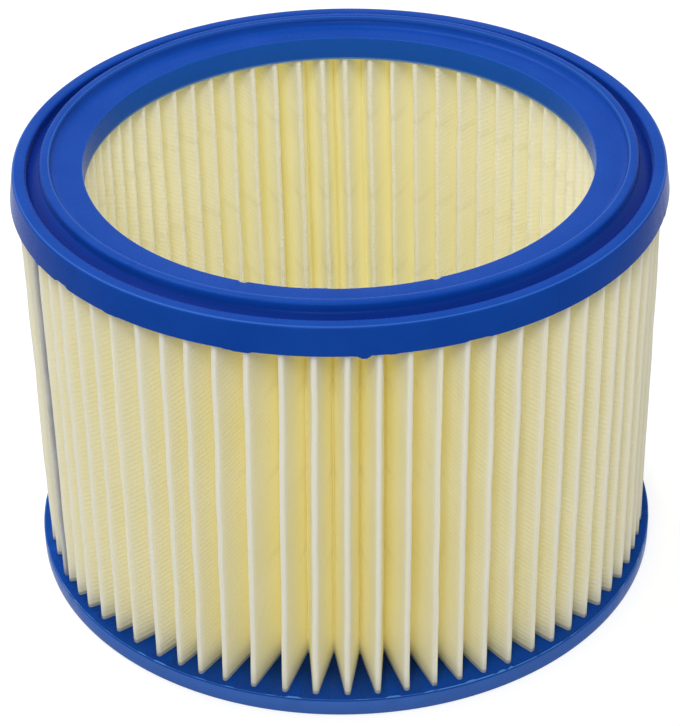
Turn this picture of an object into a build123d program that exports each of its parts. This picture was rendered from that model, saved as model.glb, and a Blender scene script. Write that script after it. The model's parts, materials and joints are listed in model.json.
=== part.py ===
from build123d import *
import math
import os

# Round pleated cartridge filter of a wet and dry vacuum cleaner, standing on its lower end cap.
# One folded sheet is closed into a ring by a metal clip, and its two edges are potted in cast end caps.
# The origin is the centre of the underside, and the bore runs along Z. Lengths are in millimetres.

# Widths of the upper cap's sealing profile, from the bore outwards
bore_diameter = 147.0
seat_width = 6.7
cove_width = 2.7
ridge_width = 2.6
groove_width = 4.1
rim_width = 3.9

# Heights, those of the profile taken from the rim
filter_height = 131.0
seat_drop = 0.8
ridge_rise = 2.0
groove_depth = 2.6
groove_climb = 2.0

# Bevels on the outer edges of the rim and of the ridge, and the draft of the upper cap's side
rim_bevel = 0.8
ridge_bevel = 0.7
cap_draft = 1.3

# Casting round the edges of the sheet
cap_floor = 2.6
potting_depth = 3.0
flange_height = 5.8
flange_overhang = 1.75

# Folded sheet
pleat_count = 72
sheet_thickness = 0.7
fold_width = 1.4
tip_inset = 0.6
bore_margin = 0.5

# Spread of the folds in degrees: wider apart at front and back than at the sides, and slack at the back
gather_angle = 2.6
widest_direction = -94.0
slack_angle = 3.3
slackest_direction = 81.0
seam_turn = -160.3
seam_lean = 2.0

# Clip crimped over the two ends of the sheet
seam_gap = 0.2
clip_thickness = 0.4
clip_depth = 6.0
clip_lead = 1.0

# Radii that follow
bore_radius = bore_diameter / 2
seat_edge = bore_radius + seat_width
ridge_inner = seat_edge + cove_width
ridge_outer = ridge_inner + ridge_width
rim_inner = ridge_outer + groove_width
cap_radius = rim_inner + rim_width
flange_radius = cap_radius + flange_overhang
tip_radius = cap_radius - tip_inset
root_radius = bore_radius + bore_margin
clip_root = tip_radius - clip_depth
sheet_end = tip_radius - clip_thickness

# Heights that follow
seat_height = filter_height - seat_drop
ridge_height = filter_height + ridge_rise
groove_floor = filter_height - groove_depth
ridge_foot = groove_floor + groove_climb
sheet_bottom = flange_height - potting_depth
sheet_top = groove_floor - cap_floor
upper_cap_bottom = sheet_top - potting_depth

# Cove in two facets: they meet half-way round its quarter turn
cove_break = seat_edge + cove_width * math.sin(math.radians(45))
cove_break_height = seat_height + (ridge_height - seat_height) * (1 - math.cos(math.radians(45)))


def fold_direction(turn):
    """Direction of a fold whose even place is at a turn, drawn together at the sides and the front."""
    gather = gather_angle * math.sin(math.radians(2 * (turn - widest_direction)))
    slack = slack_angle * math.sin(math.radians(turn - slackest_direction))
    return turn + gather + slack


seam_direction = fold_direction(seam_turn) + seam_lean


def polar(radius, direction, side=0.0):
    """Point at a radius in a direction, moved sideways along the tangent."""
    return Vector(radius, side).rotate(Axis.Z, direction)


def middle_line():
    """Middle of the sheet, from one end in the clip, round all the folds, to the other end."""
    half_fold = fold_width / 2
    half_seam = (seam_gap + sheet_thickness) / 2
    outer_fold = tip_radius - sheet_thickness / 2
    inner_fold = root_radius + sheet_thickness / 2
    lead_radius = clip_root - clip_lead
    line = [polar(sheet_end, seam_direction, half_seam), polar(lead_radius, seam_direction, half_seam)]
    for fold in range(1, 2 * pleat_count):
        radius = inner_fold if fold % 2 else outer_fold
        direction = fold_direction(seam_turn + fold * 180 / pleat_count)
        line += [polar(radius, direction, -half_fold), polar(radius, direction, half_fold)]
    line += [polar(lead_radius, seam_direction, -half_seam), polar(sheet_end, seam_direction, -half_seam)]
    return line


def skin(line, offset):
    """Line moved to its left by an offset, with mitred corners and square ends."""
    runs = [(end - start).normalized() for start, end in zip(line, line[1:])]
    normals = [Vector(-run.Y, run.X) for run in runs]
    corners = zip(line, normals[:1] + normals, normals + normals[-1:])
    return [
        point + (before + after) * (offset / (1 + before.dot(after)))
        for point, before, after in corners
    ]


def build_filter_media():
    """One sheet folded into pleats, from potting to potting."""
    line = middle_line()
    inner_skin = skin(line, sheet_thickness / 2)
    outer_skin = skin(line, -sheet_thickness / 2)
    section = make_face(Polyline(*outer_skin, *reversed(inner_skin), close=True))
    return extrude(Pos(Z=sheet_bottom) * section, sheet_top - sheet_bottom, dir=(0, 0, 1))


def build_seam_clip():
    """Channel of thin sheet metal, with its back outwards and its legs over the two ends of the sheet."""
    slot_width = seam_gap + 2 * sheet_thickness
    outside = Pos(X=clip_root) * Rectangle(
        clip_depth, slot_width + 2 * clip_thickness, align=(Align.MIN, Align.CENTER)
    )
    slot = Pos(X=clip_root) * Rectangle(
        clip_depth - clip_thickness, slot_width, align=(Align.MIN, Align.CENTER)
    )
    section = Pos(Z=sheet_bottom) * Rot(Z=seam_direction) * (outside - slot)
    return extrude(section, sheet_top - sheet_bottom, dir=(0, 0, 1))


def build_upper_ring():
    """Cast ring with a rim, a groove, a raised sealing ridge, a hollow cove and a seat round the bore."""
    with BuildPart() as ring:
        with BuildSketch(Plane.XZ):
            with BuildLine():
                Polyline(
                    (bore_radius, upper_cap_bottom),
                    (bore_radius, seat_height),
                    (seat_edge, seat_height),
                    (cove_break, cove_break_height),
                    (ridge_inner, ridge_height),
                    (ridge_outer - ridge_bevel, ridge_height),
                    (ridge_outer, ridge_height - ridge_bevel),
                    (ridge_outer, ridge_foot),
                    (rim_inner, groove_floor),
                    (rim_inner, filter_height),
                    (cap_radius - rim_bevel, filter_height),
                    (cap_radius, filter_height - rim_bevel),
                    (cap_radius + cap_draft, upper_cap_bottom),
                    close=True,
                )
            make_face()
        revolve(axis=Axis.Z)
    return ring.part


def build_lower_ring():
    """Cast flange, flat on both sides, with the same bore."""
    with BuildPart() as ring:
        with BuildSketch(Plane.XZ):
            with BuildLine():
                Polyline(
                    (bore_radius, 0),
                    (flange_radius, 0),
                    (flange_radius, flange_height),
                    (bore_radius, flange_height),
                    close=True,
                )
            make_face()
        revolve(axis=Axis.Z)
    return ring.part


# The castings set round the edges of the sheet and of the clip, so their slots have those shapes
filter_media = build_filter_media()
seam_clip = build_seam_clip()
upper_end_cap = build_upper_ring() - filter_media - seam_clip
lower_end_cap = build_lower_ring() - filter_media - seam_clip

nodes = {
    "upper_end_cap": upper_end_cap,
    "lower_end_cap": lower_end_cap,
    "filter_media": filter_media,
    "seam_clip": seam_clip,
}
os.makedirs("parts", exist_ok=True)
for name, piece in nodes.items():
    export_step(piece, f"parts/{name}.step")
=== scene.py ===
import json
import math
import random

import bmesh
import bpy
from mathutils import Matrix, Vector


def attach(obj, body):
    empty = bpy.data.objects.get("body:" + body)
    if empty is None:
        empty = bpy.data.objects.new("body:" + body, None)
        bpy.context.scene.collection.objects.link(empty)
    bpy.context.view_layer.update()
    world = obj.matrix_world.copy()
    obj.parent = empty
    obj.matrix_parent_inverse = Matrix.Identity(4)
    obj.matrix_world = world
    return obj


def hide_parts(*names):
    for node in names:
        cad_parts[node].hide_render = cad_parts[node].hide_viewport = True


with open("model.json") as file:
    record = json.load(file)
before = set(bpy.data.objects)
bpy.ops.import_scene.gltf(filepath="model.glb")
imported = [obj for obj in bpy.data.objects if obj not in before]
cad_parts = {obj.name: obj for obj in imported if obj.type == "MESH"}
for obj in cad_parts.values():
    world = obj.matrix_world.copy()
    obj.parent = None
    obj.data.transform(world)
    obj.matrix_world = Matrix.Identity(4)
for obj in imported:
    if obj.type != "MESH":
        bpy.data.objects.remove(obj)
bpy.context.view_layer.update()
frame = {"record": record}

# Round pleated cartridge filter: a folded cream sheet with a metal clip, potted between blue cast caps.
# Lengths are in metres, written in millimetres, and directions are in degrees round the bore's axis.
MM = 0.001
draw = random.Random(11)

# Sizes that the frame gives
basket_bore, sealing_ridge = frame["record"]["mounts"][:2]
bore_radius = basket_bore["dims"]["r_mm"] * MM
seat_height = basket_bore["dims"]["length_mm"] * MM
ridge_height = sealing_ridge["pos_m"][2]

# Upper cap: widths from the bore outwards, then heights
seat_and_cove_width = 9.4 * MM
ridge_width = 2.6 * MM
groove_width = 4.1 * MM
rim_width = 3.9 * MM
cap_draft = 1.2 * MM
ridge_rise = 2.0 * MM
groove_depth = 2.6 * MM
groove_climb = 2.0 * MM
cap_skirt = 5.6 * MM

# Lower cap, with a lip of casting flash along its upper edge
flange_overhang = 1.55 * MM
flange_top = 5.8 * MM
lip_width = 0.45 * MM
lip_rise = 0.12 * MM

# Radii and heights of the caps that follow
ridge_inner = bore_radius + seat_and_cove_width
ridge_outer = ridge_inner + ridge_width
rim_inner = ridge_outer + groove_width
cap_radius = rim_inner + rim_width
cap_foot = cap_radius + cap_draft
flange_radius = cap_radius + flange_overhang
lip_edge = flange_radius - lip_width / 3
lip_top = flange_top + lip_rise
rim_height = ridge_height - ridge_rise
groove_floor = rim_height - groove_depth
ridge_foot = groove_floor + groove_climb
upper_cap_bottom = groove_floor - cap_skirt
middle_height = rim_height / 2

# Roundings of the caps
seat_edge_round = 0.3 * MM
cove_round = 2.6 * MM
ridge_inner_round = 0.12 * MM
ridge_outer_round = 0.7 * MM
groove_inner_round = 0.6 * MM
groove_outer_round = 0.35 * MM
rim_inner_round = 0.9 * MM
rim_outer_round = 0.8 * MM
underside_round = 0.9 * MM

# Folded sheet
pleat_count = 72
sheet_thickness = 0.7 * MM
fold_width = 0.85 * MM
fold_round = 0.4 * MM
tip_inset = 0.6 * MM
bore_margin = 0.5 * MM
tip_radius = cap_radius - tip_inset
root_radius = bore_radius + bore_margin
sheet_bury = 1.5 * MM

# Spread of the folds: wider apart at front and back than at the sides, and slack at the back
gather_angle = 2.6
widest_direction = -94.0
slack_angle = 3.3
slackest_direction = 81.0
seam_turn = -160.3
seam_lean = 2.0

# Unevenness of the folds: turn from foot to top, lean at the front, strays of single folds and sway
fold_twist = 0.6
front_twist = 1.0
front_direction = -103.0
front_reach = 32.0
fold_slip = 0.4 * MM
fold_stray = 0.15
fold_width_spread = 0.15
sway_size = 18 * MM
sway_reach = 0.5 * MM

# Seam clip
clip_thickness = 0.4 * MM
clip_depth = 6.0 * MM
clip_lead = 1.0 * MM
clip_round = 0.3 * MM
seam_gap = 0.2 * MM

# Fineness of the meshes
ring_steps = 480
sheet_rows = 28
crease_segments = 3
round_profile = 0.5
merge_distance = 0.002 * MM
ring_merge_distance = 0.01 * MM
corner_reach = 0.02 * MM
upright_share = 0.9
hard_piece_smooth_angle = 40
sheet_smooth_angle = 60


# Edit mode helpers

def only_active(piece):
    """Makes one piece the only selected and active one."""
    bpy.ops.object.select_all(action="DESELECT")
    piece.select_set(True)
    bpy.context.view_layer.objects.active = piece


def edit(piece):
    only_active(piece)
    bpy.ops.object.mode_set(mode="EDIT")


def leave_edit():
    bpy.ops.object.mode_set(mode="OBJECT")


def pick(piece, kind, wanted):
    """Selects, in edit mode, the vertices, edges or faces that a test wants."""
    bpy.ops.mesh.select_mode(type=kind)
    bpy.ops.mesh.select_all(action="DESELECT")
    mesh = bmesh.from_edit_mesh(piece.data)
    parts = {"VERT": mesh.verts, "EDGE": mesh.edges, "FACE": mesh.faces}[kind]
    for part in parts:
        if wanted(part):
            part.select_set(True)
    mesh.select_flush_mode()
    bmesh.update_edit_mesh(piece.data)


def turn_selected(degrees):
    """Turns the selection about the filter's axis; with no window the operator counts the other way."""
    bpy.ops.transform.rotate(value=-math.radians(degrees), orient_axis="Z", center_override=(0, 0, 0))


def draw_in_selected(share):
    """Scales the selection towards or away from the filter's axis."""
    bpy.ops.transform.resize(value=(share, share, 1), center_override=(0, 0, 0))


def extrude_selected(shift):
    """Draws the selected edges out by a shift."""
    bpy.ops.mesh.extrude_edges_move(TRANSFORM_OT_translate={"value": shift})


def round_selected(width, segments):
    """Rounds the selected edges."""
    bpy.ops.mesh.bevel(offset=width, segments=segments, profile=round_profile, affect="EDGES")


def thicken(piece, thickness):
    """Adds a thickness, half to each side, after the piece's other modifiers, and applies them all."""
    solidify = piece.modifiers.new("thickness", "SOLIDIFY")
    solidify.thickness = thickness
    solidify.offset = 0
    only_active(piece)
    for modifier in list(piece.modifiers):
        bpy.ops.object.modifier_apply(modifier=modifier.name)


def finish_mesh(piece, smooth_angle):
    """Closes doubles, turns faces outwards and shades the piece smooth up to an angle."""
    edit(piece)
    bpy.ops.mesh.select_all(action="SELECT")
    bpy.ops.mesh.remove_doubles(threshold=merge_distance)
    bpy.ops.mesh.normals_make_consistent(inside=False)
    leave_edit()
    bpy.ops.object.shade_smooth_by_angle(angle=math.radians(smooth_angle))


def radius_of(point):
    return math.hypot(point.x, point.y)


def direction_of(point):
    return math.degrees(math.atan2(point.y, point.x))


# Cast caps

def turned_ring(name, profile):
    """Ring drawn out from a circle along a closed profile of radius and height."""
    start_radius, start_height = profile[0]
    bpy.ops.object.select_all(action="DESELECT")
    bpy.ops.mesh.primitive_circle_add(vertices=ring_steps, radius=start_radius)
    ring = bpy.context.object
    ring.name = name
    bpy.ops.object.mode_set(mode="EDIT")
    bpy.ops.transform.translate(value=(0, 0, start_height))
    for (radius, height), (next_radius, next_height) in zip(profile, profile[1:] + profile[:1]):
        extrude_selected((0, 0, next_height - height))
        draw_in_selected(next_radius / radius)
    bpy.ops.mesh.select_all(action="SELECT")
    bpy.ops.mesh.remove_doubles(threshold=ring_merge_distance)
    bpy.ops.mesh.normals_make_consistent(inside=False)
    leave_edit()
    return ring


def round_corner(ring, radius, height, width, segments):
    """Rounds one corner of a turned ring."""
    def on_corner(edge):
        return all(
            abs(radius_of(v.co) - radius) < corner_reach and abs(v.co.z - height) < corner_reach
            for v in edge.verts
        )
    edit(ring)
    pick(ring, "EDGE", on_corner)
    round_selected(width, segments)
    leave_edit()


def shift_stretch(ring, corner, reach, stretch):
    """Shifts a short stretch of a ring's corner, outwards and upwards."""
    radius, height = corner
    direction, half_width, outward, upward = stretch

    def on_stretch(vertex):
        away = (direction_of(vertex.co) - direction + 180) % 360 - 180
        near = math.hypot(radius_of(vertex.co) - radius, vertex.co.z - height) < reach
        return near and abs(away) < half_width
    pick(ring, "VERT", on_stretch)
    turn = math.radians(direction)
    shift = (outward * math.cos(turn) * MM, outward * math.sin(turn) * MM, upward * MM)
    bpy.ops.transform.translate(value=shift)


def fray(ring, corner, reach, stretches):
    """Makes one corner of a turned ring uneven, along with what lies within reach of it."""
    edit(ring)
    for stretch in stretches:
        shift_stretch(ring, corner, reach, stretch)
    leave_edit()


# Uneven corners of the castings. A stretch has a direction and a half width in degrees,
# and an outward and an upward shift in millimetres.
least_width_share = 0.4
least_rise_share = 0.2


def scattered(count, half_width, outward, upward):
    """Stretches at random round a corner, each up to the given sizes."""
    return [
        (
            draw.uniform(-180, 180),
            draw.uniform(least_width_share, 1) * half_width,
            draw.uniform(-1, 1) * outward,
            draw.uniform(least_rise_share, 1) * upward,
        )
        for _ in range(count)
    ]


lip_flash = [
    (-125.4, 1.2, 0.1, 0.6), (-99.4, 1.1, 0.15, 0.7), (-82.3, 1.2, 0.1, 0.6), (-76.1, 0.6, 0.15, 0.5),
    (-72.0, 2.4, 0.1, 0.4), (-68.4, 0.6, 0.15, 0.9), (-66.0, 1.8, -0.1, 0.3), (-62.8, 0.9, 0.1, 0.8),
    (-60.8, 0.5, 0.15, 1.0), (-57.4, 2.4, 0.15, 0.4), (-56.0, 0.5, -0.1, 0.6), (-50.4, 1.6, 0.1, 0.4),
] + scattered(count=46, half_width=1.2, outward=0.12, upward=0.3)
cap_nubs = [
    (-86.6, 0.9, 0.1, -0.8), (-143.0, 1.6, -0.1, 0.5), (-106.0, 1.5, 0.1, -0.4), (-68.3, 1.8, 0.1, 0.35),
] + scattered(count=24, half_width=1.3, outward=0.1, upward=-0.25)
bore_notches = [(-110.8, 0.9, 0.3, -0.25), (-94.2, 1.8, -0.25, 0), (-70.2, 0.9, 0.35, -0.2)]
ridge_nick = [(-130.6, 0.6, -0.35, -0.4)]
lip_reach = 0.05 * MM
nub_reach = 0.1 * MM
notch_reach = 0.5 * MM
nick_reach = 0.8 * MM


def make_upper_cap():
    """Cap with a rim, a groove, a sealing ridge and a sunk seat round the bore."""
    cap = turned_ring("upper_cap", [
        (bore_radius, upper_cap_bottom),
        (bore_radius, seat_height),
        (ridge_inner, seat_height),
        (ridge_inner, ridge_height),
        (ridge_outer, ridge_height),
        (ridge_outer, ridge_foot),
        (rim_inner, groove_floor),
        (rim_inner, rim_height),
        (cap_radius, rim_height),
        (cap_foot, upper_cap_bottom),
    ])
    round_corner(cap, bore_radius, seat_height, seat_edge_round, segments=3)
    round_corner(cap, ridge_inner, seat_height, cove_round, segments=7)
    round_corner(cap, ridge_inner, ridge_height, ridge_inner_round, segments=2)
    round_corner(cap, ridge_outer, ridge_height, ridge_outer_round, segments=4)
    round_corner(cap, ridge_outer, ridge_foot, groove_inner_round, segments=3)
    round_corner(cap, rim_inner, groove_floor, groove_outer_round, segments=3)
    round_corner(cap, rim_inner, rim_height, rim_inner_round, segments=4)
    round_corner(cap, cap_radius, rim_height, rim_outer_round, segments=4)
    fray(cap, (cap_foot, upper_cap_bottom), nub_reach, cap_nubs)
    fray(cap, (bore_radius, seat_height), notch_reach, bore_notches)
    fray(cap, (ridge_outer, ridge_height), nick_reach, ridge_nick)
    finish_mesh(cap, hard_piece_smooth_angle)
    return cap


def make_lower_cap():
    """Flange with a thin ragged lip of flash standing up along its outer edge."""
    cap = turned_ring("lower_cap", [
        (bore_radius, 0),
        (flange_radius, 0),
        (flange_radius, flange_top - lip_rise),
        (lip_edge, lip_top),
        (flange_radius - lip_width, flange_top),
        (bore_radius, flange_top),
    ])
    round_corner(cap, flange_radius, 0, underside_round, segments=4)
    fray(cap, (lip_edge, lip_top), lip_reach, lip_flash)
    finish_mesh(cap, hard_piece_smooth_angle)
    return cap


# Folded sheet

def fold_direction(turn):
    """Direction of a fold whose even place is at a turn: closest at the sides and widest at the back."""
    gather = gather_angle * math.sin(math.radians(2 * (turn - widest_direction)))
    slack = slack_angle * math.sin(math.radians(turn - slackest_direction))
    return turn + gather + slack


seam_direction = fold_direction(seam_turn) + seam_lean

# Uneven gaps between the folds at the front: direction and shift, in degrees
fold_shifts = [
    (-157, 0), (-140, -1.2), (-131, -1.2), (-126, -0.2), (-111, -1.1), (-101, 0),
    (-85, 0.9), (-73, 0.7), (-65, 0), (-52, 0.5), (-37, 0),
]


def fold_shift(direction):
    """Shift of a fold at a direction, between the two listed shifts on its sides."""
    for (start, first), (end, second) in zip(fold_shifts, fold_shifts[1:]):
        if start <= direction < end:
            return first + (second - first) * (direction - start) / (end - start)
    return 0


def front_lean(direction):
    """Turn by which a fold at the front leans, its foot one way and its top the other."""
    away = min(abs(direction - front_direction) / front_reach, 1)
    return front_twist / 2 * math.cos(away * math.pi / 2) ** 2


def place_corner(sheet, number, radius, direction):
    """Moves one corner of the sheet to a radius and a direction."""
    mesh = bmesh.from_edit_mesh(sheet.data)
    mesh.verts.ensure_lookup_table()
    corner = mesh.verts[number]
    turn = direction - direction_of(corner.co)
    share = radius / radius_of(corner.co)
    bpy.ops.mesh.select_all(action="DESELECT")
    corner.select_set(True)
    bmesh.update_edit_mesh(sheet.data)
    turn_selected(turn)
    draw_in_selected(share)


def plan_corners():
    """Radius and direction of each corner of the sheet's plan, from one end at the seam to the other."""
    outer_fold = tip_radius - sheet_thickness / 2
    inner_fold = root_radius + sheet_thickness / 2
    half_seam = (seam_gap + sheet_thickness) / 2
    lead_radius = tip_radius - clip_depth - clip_lead
    sheet_end = tip_radius - clip_thickness
    corners = [
        (sheet_end, seam_direction + math.degrees(half_seam / sheet_end)),
        (lead_radius, seam_direction + math.degrees(half_seam / lead_radius)),
    ]
    for fold in range(1, 2 * pleat_count):
        inner = fold % 2 == 1
        slip = draw.uniform(0, fold_slip)
        radius = inner_fold + slip if inner else outer_fold - slip
        even_direction = fold_direction(seam_turn + fold * 180 / pleat_count)
        direction = even_direction + draw.uniform(-fold_stray, fold_stray)
        direction += fold_shift(direction)
        width = fold_width * draw.uniform(1 - fold_width_spread, 1 + fold_width_spread)
        half_width = math.degrees(width / 2 / radius)
        corners += [(radius, direction - half_width), (radius, direction + half_width)]
    corners += [
        (lead_radius, seam_direction - math.degrees(half_seam / lead_radius)),
        (sheet_end, seam_direction - math.degrees(half_seam / sheet_end)),
    ]
    return corners


def upright(edge):
    """Whether an edge runs up the sheet or the clip."""
    first, second = (v.co for v in edge.verts)
    return abs(first.z - second.z) > upright_share * (first - second).length


def draw_plan(sheet, corners):
    """Draws the circle into the folds at their foot, and cuts it open at the seam."""
    bpy.ops.mesh.select_all(action="SELECT")
    bpy.ops.transform.translate(value=(0, 0, flange_top - sheet_bury))
    for number, (radius, direction) in enumerate(corners):
        place_corner(sheet, number, radius, direction - fold_twist / 2 - front_lean(direction))
    ends = {0, len(corners) - 1}
    pick(sheet, "EDGE", lambda edge: {v.index for v in edge.verts} == ends)
    bpy.ops.mesh.delete(type="EDGE")


def raise_folds(sheet):
    """Draws the plan up into the upper cap, turned a little, with the folds at the front leaning."""
    bpy.ops.mesh.select_all(action="SELECT")
    height = upper_cap_bottom - flange_top + 2 * sheet_bury
    extrude_selected((0, 0, height))
    turn_selected(fold_twist)
    mesh = bmesh.from_edit_mesh(sheet.data)
    mesh.verts.index_update()
    top_corners = [(v.index, v.co.copy()) for v in mesh.verts if v.co.z > flange_top + height / 2]
    for number, place in top_corners:
        direction = direction_of(place)
        if front_lean(direction) > 0:
            place_corner(sheet, number, radius_of(place), direction + 2 * front_lean(direction))


def soften_folds(sheet):
    """Rounds the creases and divides the folds along their height, so that they can sway."""
    pick(sheet, "EDGE", lambda edge: upright(edge) and not edge.is_boundary)
    round_selected(fold_round, crease_segments)
    pick(sheet, "EDGE", upright)
    bpy.ops.mesh.subdivide(number_cuts=sheet_rows)


def sway(sheet):
    """Lets the folds wander a little along their height."""
    for axis in ("X", "Y"):
        clouds = bpy.data.textures.new("fold_sway_" + axis, "CLOUDS")
        clouds.noise_scale = sway_size
        clouds.noise_depth = 1
        displace = sheet.modifiers.new("sway_" + axis, "DISPLACE")
        displace.texture = clouds
        displace.texture_coords = "LOCAL"
        displace.direction = axis
        displace.strength = sway_reach


def make_sheet():
    """Folded sheet: a circle is drawn into folds, cut at the seam, raised, rounded and thickened."""
    corners = plan_corners()
    bpy.ops.object.select_all(action="DESELECT")
    bpy.ops.mesh.primitive_circle_add(vertices=len(corners), radius=tip_radius)
    sheet = bpy.context.object
    sheet.name = "folded_sheet"
    edit(sheet)
    draw_plan(sheet, corners)
    raise_folds(sheet)
    soften_folds(sheet)
    leave_edit()
    sway(sheet)
    thicken(sheet, sheet_thickness)
    finish_mesh(sheet, sheet_smooth_angle)
    return sheet


def make_clip():
    """Strip of sheet metal folded over the two ends of the sheet."""
    width = seam_gap + 2 * sheet_thickness + clip_thickness
    back = tip_radius - clip_thickness / 2
    bottom = flange_top - sheet_bury
    top = upper_cap_bottom + sheet_bury
    middle = (top + bottom) / 2
    bpy.ops.object.select_all(action="DESELECT")
    bpy.ops.mesh.primitive_plane_add(size=1, rotation=(0, math.pi / 2, 0))
    clip = bpy.context.object
    clip.name = "metal_clip"
    bpy.ops.object.transform_apply(location=True, rotation=True, scale=True)
    edit(clip)
    bpy.ops.mesh.select_all(action="SELECT")
    bpy.ops.transform.resize(value=(1, width, top - bottom))
    bpy.ops.transform.translate(value=(back, 0, middle))
    pick(clip, "EDGE", upright)
    extrude_selected((clip_thickness / 2 - clip_depth, 0, 0))
    bpy.ops.mesh.select_all(action="SELECT")
    bpy.ops.mesh.normals_make_consistent(inside=False)
    pick(clip, "EDGE", lambda edge: upright(edge) and not edge.is_boundary)
    round_selected(clip_round, crease_segments)
    bpy.ops.mesh.select_all(action="SELECT")
    turn_selected(seam_direction - fold_twist / 2)
    pick(clip, "VERT", lambda vertex: vertex.co.z > middle)
    turn_selected(fold_twist)
    leave_edit()
    thicken(clip, clip_thickness)
    finish_mesh(clip, hard_piece_smooth_angle)
    return clip


# Shader helpers

def fill(tree, socket, value):
    """Feeds an input from another socket, or sets it to a plain value."""
    if isinstance(value, bpy.types.NodeSocket):
        tree.links.new(value, socket)
    else:
        socket.default_value = value


def add(tree, kind, inputs=None, **settings):
    """Adds a node with its settings, and feeds its inputs from values or from other sockets."""
    made = tree.nodes.new(kind)
    for key, value in settings.items():
        setattr(made, key, value)
    for key, value in (inputs or {}).items():
        fill(tree, made.inputs[key], value)
    return made


def mix_colour(tree, share, first, second):
    """Colour between two colours by a share; the inputs go by number, as several share a name."""
    mix = add(tree, "ShaderNodeMix", {0: share}, data_type="RGBA")
    fill(tree, mix.inputs[6], first)
    fill(tree, mix.inputs[7], second)
    return mix.outputs[2]


def calc(tree, operation, first, second):
    return add(tree, "ShaderNodeMath", {0: first, 1: second}, operation=operation).outputs[0]


def span(tree, value, fade, to_low, to_high):
    """Number that goes softly from one value to another while a value passes through a fade."""
    low, high = fade
    inputs = {"Value": value, "From Min": low, "From Max": high, "To Min": to_low, "To Max": to_high}
    return add(tree, "ShaderNodeMapRange", inputs, interpolation_type="SMOOTHSTEP").outputs[0]


def rise(tree, value, fade, strength=1.0):
    """Mask that grows from nothing to its strength as a value passes through a fade."""
    return span(tree, value, fade, 0.0, strength)


def fall(tree, value, fade, strength=1.0):
    """Mask that sinks from its strength to nothing as a value passes through a fade."""
    return span(tree, value, fade, strength, 0.0)


def band(tree, value, middle, fade, strength=1.0):
    """Mask on both sides of a middle, which sinks to nothing as the distance passes through a fade."""
    away = calc(tree, "ABSOLUTE", calc(tree, "SUBTRACT", value, middle), 0)
    return fall(tree, away, fade, strength)


def overlap(tree, first, second):
    """Mask where two masks hold together."""
    return calc(tree, "MULTIPLY", first, second)


def new_group(name, inputs, outputs):
    """Empty shader node group with named number sockets."""
    group = bpy.data.node_groups.new(name, "ShaderNodeTree")
    for sockets, way in ((inputs, "INPUT"), (outputs, "OUTPUT")):
        for socket in sockets:
            group.interface.new_socket(socket, in_out=way, socket_type="NodeSocketFloat")
    return group, group.nodes.new("NodeGroupInput"), group.nodes.new("NodeGroupOutput")


def place_in_ring_group():
    """Distance from the filter's axis, height above its underside, and how far a face looks outwards."""
    group, _, result = new_group("place_in_ring", [], ["Radius", "Height", "Outward"])
    place = add(group, "ShaderNodeTexCoord").outputs["Object"]
    split = add(group, "ShaderNodeSeparateXYZ", {0: place})
    flat = add(group, "ShaderNodeCombineXYZ", {0: split.outputs[0], 1: split.outputs[1]}).outputs[0]
    length = add(group, "ShaderNodeVectorMath", {0: flat}, operation="LENGTH")
    outwards = add(group, "ShaderNodeVectorMath", {0: flat}, operation="NORMALIZE").outputs[0]
    facing = add(group, "ShaderNodeNewGeometry").outputs["Normal"]
    share = add(group, "ShaderNodeVectorMath", {0: outwards, 1: facing}, operation="DOT_PRODUCT")
    group.links.new(length.outputs["Value"], result.inputs["Radius"])
    group.links.new(split.outputs[2], result.inputs["Height"])
    group.links.new(share.outputs["Value"], result.inputs["Outward"])
    return group


mottle_detail = 3.0
mottle_fade = (0.3, 0.7)


def mottle_group():
    """Uneven patches and finer specks, each from none to full, at the given scales."""
    group, given, result = new_group("mottle", ["Patches", "Specks"], ["Patch", "Speck"])
    place = add(group, "ShaderNodeTexCoord").outputs["Object"]
    for scale, output in (("Patches", "Patch"), ("Specks", "Speck")):
        inputs = {"Vector": place, "Scale": given.outputs[scale], "Detail": mottle_detail}
        noise = add(group, "ShaderNodeTexNoise", inputs).outputs[0]
        group.links.new(rise(group, noise, mottle_fade), result.inputs[output])
    return group


place_in_ring = place_in_ring_group()
mottle = mottle_group()


def new_material(name):
    material = bpy.data.materials.new(name)
    material.use_nodes = True
    tree = material.node_tree
    return material, tree, tree.nodes["Principled BSDF"]


def use_group(tree, group, **inputs):
    return add(tree, "ShaderNodeGroup", inputs, node_tree=group).outputs


def set_finish(tree, shader, **finish):
    """Fills the shader's inputs; a name is the input's in small letters, joined by underscores."""
    names = {socket.name.lower().replace(" ", "_"): socket for socket in shader.inputs}
    for name, value in finish.items():
        fill(tree, names[name], value)


# Blue cast rubber: colours, then where each begins and ends, and how strong it is
rubber_blue = (0.004, 0.055, 0.345, 1)
rubber_light_blue = (0.006, 0.063, 0.375, 1)
rubber_patches = 55.0
rubber_specks = 1400.0
# Painted shade: the groove is painted a deeper blue where shade falls in it
groove_shade_blue = (0.002, 0.018, 0.20, 1)
groove_inner_fade = (ridge_outer - 0.3 * MM, ridge_outer - 0.05 * MM)
groove_outer_fade = (rim_inner - 0.1 * MM, rim_inner + 0.1 * MM)
groove_shade_height_fade = (groove_floor + 0.5 * MM, ridge_foot + 2 * MM)
groove_shade_strength = 0.9
# Painted highlights: paler lines along the ridge's inner edge and the rim's outer edge, where light
# glints
edge_highlight_blue = (0.06, 0.20, 0.62, 1)
highlight_edges = (ridge_inner + 0.1 * MM, cap_radius - 0.4 * MM)
highlight_fade = (0.05 * MM, 0.3 * MM)
highlight_height_fade = (rim_height - 0.7 * MM, rim_height - 0.1 * MM)
highlight_strength = 0.5
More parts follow.
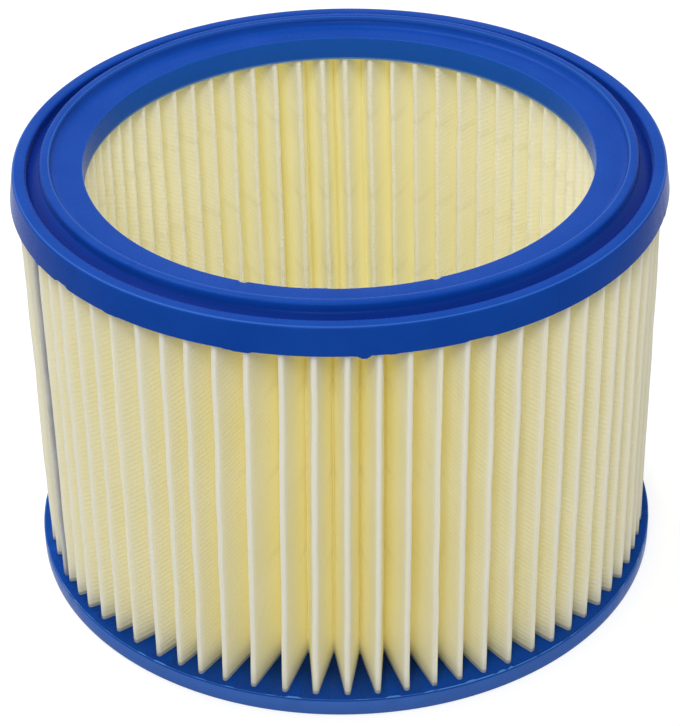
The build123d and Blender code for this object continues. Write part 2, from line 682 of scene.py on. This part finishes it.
# Painted reflection: the bore wall is painted paler for the lit cream sheet that it reflects
bore_reflection_blue = (0.014, 0.11, 0.52, 1)
bore_fade = (bore_radius + 0.1 * MM, bore_radius + 0.4 * MM)
bore_strength = 0.7
hem_blue = (0.25, 0.42, 0.55, 1)
hem_fade = (upper_cap_bottom + 0.2 * MM, upper_cap_bottom + 0.9 * MM)
hem_strength = 0.8
# Painted shade: a near-black blue on the flange between the folds, where shade falls
between_folds_shade_blue = (0.002, 0.014, 0.075, 1)
between_folds_shade_fade = (root_radius + 6 * MM, tip_radius - 1 * MM)
between_folds_shade_strength = 0.75
flange_edge_fade = (flange_radius - 0.7 * MM, flange_radius - 0.3 * MM)
# Painted light: the flange's outer side is painted paler for the light from the white floor
flange_side_lit_blue = (0.055, 0.155, 0.53, 1)
flange_side_lit_fade = (flange_top - 0.6 * MM, flange_top - 0.2 * MM)
lip_blue = (0.09, 0.30, 0.75, 1)
lip_fade = (flange_top - 0.05 * MM, flange_top + 0.25 * MM)
rubber_roughness = (0.26, 0.36)
rubber_specular = 0.035
rubber_sheen = 0.12
rubber_sheen_roughness = 0.25
rubber_grain = 0.08
rubber_grain_depth = 0.1 * MM


def cap_rubber():
    """Satin blue cast rubber, with painted shade in the groove and between the folds, painted highlights
    along two top edges, painted light on the bore wall and the flange's side, and paler where the flash
    is thin.
    """
    material, tree, shader = new_material("blue_cast_rubber")
    uneven = use_group(tree, mottle, Patches=rubber_patches, Specks=rubber_specks)
    place = use_group(tree, place_in_ring)
    radius = place["Radius"]
    height = place["Height"]
    upper = calc(tree, "GREATER_THAN", height, middle_height)
    lower = calc(tree, "SUBTRACT", 1.0, upper)
    colour = mix_colour(tree, uneven["Patch"], rubber_blue, rubber_light_blue)
    # Painted shade in the sunk part of the groove
    in_groove = overlap(
        tree, rise(tree, radius, groove_inner_fade), fall(tree, radius, groove_outer_fade)
    )
    sunk = overlap(tree, fall(tree, height, groove_shade_height_fade, groove_shade_strength), upper)
    colour = mix_colour(tree, overlap(tree, in_groove, sunk), colour, groove_shade_blue)
    # Painted highlights along the two top edges
    on_top = rise(tree, height, highlight_height_fade)
    for edge in highlight_edges:
        highlight = overlap(tree, band(tree, radius, edge, highlight_fade, highlight_strength), on_top)
        colour = mix_colour(tree, highlight, colour, edge_highlight_blue)
    # Painted reflection on the bore wall
    in_bore = overlap(tree, fall(tree, radius, bore_fade, bore_strength), upper)
    colour = mix_colour(tree, in_bore, colour, bore_reflection_blue)
    hem = overlap(tree, in_bore, fall(tree, height, hem_fade, hem_strength))
    colour = mix_colour(tree, hem, colour, hem_blue)
    # Painted shade on the flange between the folds
    between_folds_shade = overlap(tree, fall(tree, radius, between_folds_shade_fade, between_folds_shade_strength), lower)
    colour = mix_colour(tree, between_folds_shade, colour, between_folds_shade_blue)
    flange_edge = rise(tree, radius, flange_edge_fade)
    # Painted light on the flange's outer side
    lit_flange_side = overlap(tree, flange_edge, fall(tree, height, flange_side_lit_fade))
    colour = mix_colour(tree, lit_flange_side, colour, flange_side_lit_blue)
    lip = overlap(tree, overlap(tree, flange_edge, rise(tree, height, lip_fade)), lower)
    colour = mix_colour(tree, lip, colour, lip_blue)
    grain = {"Height": uneven["Speck"], "Strength": rubber_grain, "Distance": rubber_grain_depth}
    set_finish(
        tree, shader,
        base_color=colour,
        roughness=span(tree, uneven["Speck"], (0, 1), *rubber_roughness),
        specular_ior_level=rubber_specular,
        sheen_weight=rubber_sheen,
        sheen_roughness=rubber_sheen_roughness,
        normal=add(tree, "ShaderNodeBump", grain).outputs[0],
    )
    return material


# Cream filter sheet: its inner and outer faces, the inner painted paler as light, creases painted paler
# as highlights, valleys and hollows painted darker as shade, marks across the folds, a darkening towards
# the foot and stains at the potting
# Painted light: the inner face is painted paler than the outer, for the light that falls into the bore
inner_cream = (0.962, 0.94, 0.755, 1)
inner_light_cream = (0.97, 0.95, 0.795, 1)
outer_cream = (0.932, 0.89, 0.615, 1)
outer_light_cream = (0.945, 0.905, 0.665, 1)
outside_fade = (-0.06, 0.06)
sheet_patches = 45.0
sheet_specks = 1100.0
# Painted shade: a deeper yellow towards the foot of the outer valleys
valley_shade_cream = (0.86, 0.80, 0.49, 1)
valley_shade_fade = (root_radius + 0.5 * MM, root_radius + 4 * MM)
valley_shade_strength = 0.7
# Painted shade: a deeper cream in the hollows behind the outer creases, seen from the bore
hollow_shade_cream = (0.91, 0.87, 0.64, 1)
hollow_shade_fade = (tip_radius - 4 * MM, tip_radius - 0.5 * MM)
hollow_shade_strength = 0.6
# Painted highlight: the outer creases are painted paler where light catches them
outer_crease_highlight_cream = (0.975, 0.952, 0.80, 1)
outer_crease_fade = (tip_radius - 2.6 * MM, tip_radius - 0.1 * MM)
# Painted highlight: the inner creases are painted paler where light catches them
inner_crease_highlight_cream = (0.972, 0.955, 0.84, 1)
inner_crease_highlight_fade = (root_radius + 0.4 * MM, root_radius + 2.0 * MM)
inner_crease_highlight_strength = 0.9
mark_colour = (0.74, 0.70, 0.46, 1)
mark_heights = (45 * MM, 73 * MM, 102 * MM)
mark_fade = (0.3 * MM, 2.2 * MM)
mark_radius_fade = (root_radius + 4 * MM, tip_radius - 6 * MM)
mark_strength = 0.3
# Darker towards the foot of the sheet
foot_darkening_colour = (0.52, 0.50, 0.33, 1)
foot_darkening_fade = (flange_top, flange_top + 7 * MM)
foot_darkening_strength = 0.45
wick_colour = (0.25, 0.27, 0.26, 1)
wick_fade = (flange_top + 0.5 * MM, flange_top + 1.6 * MM)
wick_strength = 0.7
sheet_roughness = 0.85
sheet_specular = 0.15
rib_scale = 196.0
rib_distortion = 0.6
rib_detail = 1.0
fibre_share = 0.5
sheet_relief = 0.3
sheet_relief_depth = 0.2 * MM

# Light that still passes between the pale folds after the last bounce that is followed
fold_glow = (0.38, 0.345, 0.18, 1)
last_bounce = 3.5


def sheet_colour(tree, place, uneven, outer_crease, outside):
    """Cream, painted paler inside and along the creases as light, painted darker in the valleys and
    hollows as shade, marked across, darker towards the foot and stained at the potting.
    """
    radius = place["Radius"]
    height = place["Height"]
    inner_face = mix_colour(tree, uneven["Patch"], inner_cream, inner_light_cream)
    outer_face = mix_colour(tree, uneven["Patch"], outer_cream, outer_light_cream)
    # Painted shade deep in the outer valleys
    valley_shade = fall(tree, radius, valley_shade_fade, valley_shade_strength)
    outer_face = mix_colour(tree, valley_shade, outer_face, valley_shade_cream)
    # Painted shade in the hollows behind the outer creases
    hollow_shade = rise(tree, radius, hollow_shade_fade, hollow_shade_strength)
    inner_face = mix_colour(tree, hollow_shade, inner_face, hollow_shade_cream)
    # Painted light: the inner face is paler than the outer face
    colour = mix_colour(tree, outside, inner_face, outer_face)
    # Painted highlight along the outer creases
    colour = mix_colour(tree, outer_crease, colour, outer_crease_highlight_cream)
    inside = calc(tree, "SUBTRACT", 1.0, outside)
    # Painted highlight along the inner creases
    inner_crease_highlight = overlap(tree, fall(tree, radius, inner_crease_highlight_fade, inner_crease_highlight_strength), inside)
    colour = mix_colour(tree, inner_crease_highlight, colour, inner_crease_highlight_cream)
    smudge = overlap(tree, fall(tree, radius, mark_radius_fade, mark_strength), uneven["Speck"])
    for mark_height in mark_heights:
        mark = overlap(tree, band(tree, height, mark_height, mark_fade), smudge)
        colour = mix_colour(tree, mark, colour, mark_colour)
    # Darker towards the foot of the sheet
    colour = mix_colour(tree, fall(tree, height, foot_darkening_fade, foot_darkening_strength), colour, foot_darkening_colour)
    return mix_colour(tree, fall(tree, height, wick_fade, wick_strength), colour, wick_colour)


def sheet_relief_normal(tree, uneven, outer_crease):
    """Fine level ribs on the folds, none along the outer creases, with a little fibre all over."""
    ribs = {
        "Vector": add(tree, "ShaderNodeTexCoord").outputs["Object"],
        "Scale": rib_scale, "Distortion": rib_distortion, "Detail": rib_detail,
    }
    rib = add(tree, "ShaderNodeTexWave", ribs, bands_direction="Z").outputs["Fac"]
    rib = overlap(tree, rib, calc(tree, "SUBTRACT", 1.0, outer_crease))
    fibre = calc(tree, "MULTIPLY", uneven["Speck"], fibre_share)
    height = calc(tree, "ADD", rib, fibre)
    relief = {"Height": height, "Strength": sheet_relief, "Distance": sheet_relief_depth}
    return add(tree, "ShaderNodeBump", relief).outputs[0]


def filter_sheet():
    """Matt cream filter sheet with fine ribs."""
    material, tree, shader = new_material("cream_filter_sheet")
    uneven = use_group(tree, mottle, Patches=sheet_patches, Specks=sheet_specks)
    place = use_group(tree, place_in_ring)
    outside = rise(tree, place["Outward"], outside_fade)
    outer_crease = overlap(tree, rise(tree, place["Radius"], outer_crease_fade), outside)
    bounces = add(tree, "ShaderNodeLightPath").outputs["Diffuse Depth"]
    set_finish(
        tree, shader,
        base_color=sheet_colour(tree, place, uneven, outer_crease, outside),
        roughness=sheet_roughness,
        specular_ior_level=sheet_specular,
        emission_color=fold_glow,
        emission_strength=calc(tree, "GREATER_THAN", bounces, last_bounce),
        normal=sheet_relief_normal(tree, uneven, outer_crease),
    )
    return material


# Grey sheet metal of the clip
clip_grey = (0.36, 0.36, 0.36, 1)
clip_light_grey = (0.46, 0.46, 0.46, 1)
clip_patches = 120.0
clip_specks = 2000.0
clip_roughness = (0.35, 0.5)
clip_metallic = 0.35


def clip_metal():
    """Dull grey sheet metal."""
    material, tree, shader = new_material("grey_sheet_metal")
    uneven = use_group(tree, mottle, Patches=clip_patches, Specks=clip_specks)
    set_finish(
        tree, shader,
        base_color=mix_colour(tree, uneven["Patch"], clip_grey, clip_light_grey),
        roughness=span(tree, uneven["Speck"], (0, 1), *clip_roughness),
        metallic=clip_metallic,
    )
    return material


def dress(piece, node, material):
    """Gives a piece its material and its body, and hides the CAD node that it stands for."""
    piece.data.materials.clear()
    piece.data.materials.append(material)
    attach(piece, "root")
    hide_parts(node)


rubber = cap_rubber()
dress(make_upper_cap(), "upper_end_cap", rubber)
dress(make_lower_cap(), "lower_end_cap", rubber)
dress(make_sheet(), "filter_media", filter_sheet())
dress(make_clip(), "seam_clip", clip_metal())


# Floor, light and camera, in metres, degrees and watts, with lens and sensor in millimetres
white = (1, 1, 1, 1)
floor_size = 12
floor_grey = (0.4, 0.4, 0.4, 1)
floor_roughness = 0.9
floor_glow = (0.72, 0.82)
floor_glow_fade = (0.3, 1.0)
world_fill = (0.46, 0.78)
world_side_fade = (0.3, 0.9)
lamp_size = 0.5
lamp_target = Vector((0, 0, 0.07))
top_lamp_place = (-0.4, 0.6, 1.3)
top_lamp_power = 9
front_lamp_place = (-0.15, -1.1, 1.25)
front_lamp_power = 8.8
camera_place = Vector((0, -601.49, 462.39)) * MM
camera_pitch = 33.972
camera_yaw = -0.091
camera_roll = -1.2
camera_lens = 118.18
camera_sensor = 36


def seen_ray(tree):
    """1 for rays that show the surroundings: straight to the camera, in gloss or through glass."""
    path = add(tree, "ShaderNodeLightPath").outputs
    gloss = calc(tree, "MAXIMUM", path["Is Glossy Ray"], path["Is Transmission Ray"])
    return calc(tree, "MAXIMUM", path["Is Camera Ray"], gloss)


def make_floor():
    """Pale floor that takes shadows, and that is lit up to white where it is seen."""
    bpy.ops.object.select_all(action="DESELECT")
    bpy.ops.mesh.primitive_plane_add(size=floor_size)
    floor = bpy.context.object
    floor.name = "floor"
    material, tree, shader = new_material("white_floor")
    set_finish(tree, shader, base_color=floor_grey, roughness=floor_roughness, specular_ior_level=0.0)
    place = add(tree, "ShaderNodeTexCoord").outputs["Object"]
    away = add(tree, "ShaderNodeVectorMath", {0: place}, operation="LENGTH").outputs["Value"]
    strength = calc(tree, "MULTIPLY", seen_ray(tree), span(tree, away, floor_glow_fade, *floor_glow))
    glow = add(tree, "ShaderNodeEmission", {"Color": white, "Strength": strength})
    lit = add(tree, "ShaderNodeAddShader", {0: shader.outputs[0], 1: glow.outputs[0]})
    tree.links.new(lit.outputs[0], tree.nodes["Material Output"].inputs["Surface"])
    floor.data.materials.append(material)


def make_world():
    """White surroundings, which light the filter more from the sides than from front and back."""
    world = bpy.data.worlds.new("white_studio")
    bpy.context.scene.world = world
    world.use_nodes = True
    tree = world.node_tree
    towards = add(tree, "ShaderNodeTexCoord").outputs["Generated"]
    across = add(tree, "ShaderNodeSeparateXYZ", {0: towards}).outputs[0]
    sideways = calc(tree, "ABSOLUTE", across, 0)
    light = span(tree, sideways, world_side_fade, *world_fill)
    background = tree.nodes["Background"]
    fill(tree, background.inputs["Color"], white)
    fill(tree, background.inputs["Strength"], span(tree, seen_ray(tree), (0, 1), light, 1.0))


def make_lamp(name, place, power):
    """Square soft lamp that looks at the middle of the filter."""
    data = bpy.data.lights.new(name, "AREA")
    data.size = lamp_size
    data.energy = power
    lamp = bpy.data.objects.new(name, data)
    aim = lamp_target - Vector(place)
    lamp.matrix_world = Matrix.Translation(place) @ aim.to_track_quat("-Z", "Y").to_matrix().to_4x4()
    bpy.context.scene.collection.objects.link(lamp)


def make_camera():
    """Camera fitted to the photograph, looking down at the filter from the front."""
    turn = (
        Matrix.Rotation(math.radians(-camera_yaw), 4, "Z")
        @ Matrix.Rotation(math.radians(90 - camera_pitch), 4, "X")
        @ Matrix.Rotation(math.radians(camera_roll), 4, "Z")
    )
    data = bpy.data.cameras.new("camera")
    data.sensor_width = camera_sensor
    data.lens = camera_lens
    camera = bpy.data.objects.new("camera", data)
    camera.matrix_world = Matrix.Translation(camera_place) @ turn
    bpy.context.scene.collection.objects.link(camera)
    bpy.context.scene.camera = camera


make_floor()
make_world()
make_lamp("top_lamp", top_lamp_place, top_lamp_power)
make_lamp("front_lamp", front_lamp_place, front_lamp_power)
make_camera()
bpy.context.scene.view_settings.view_transform = "Standard"
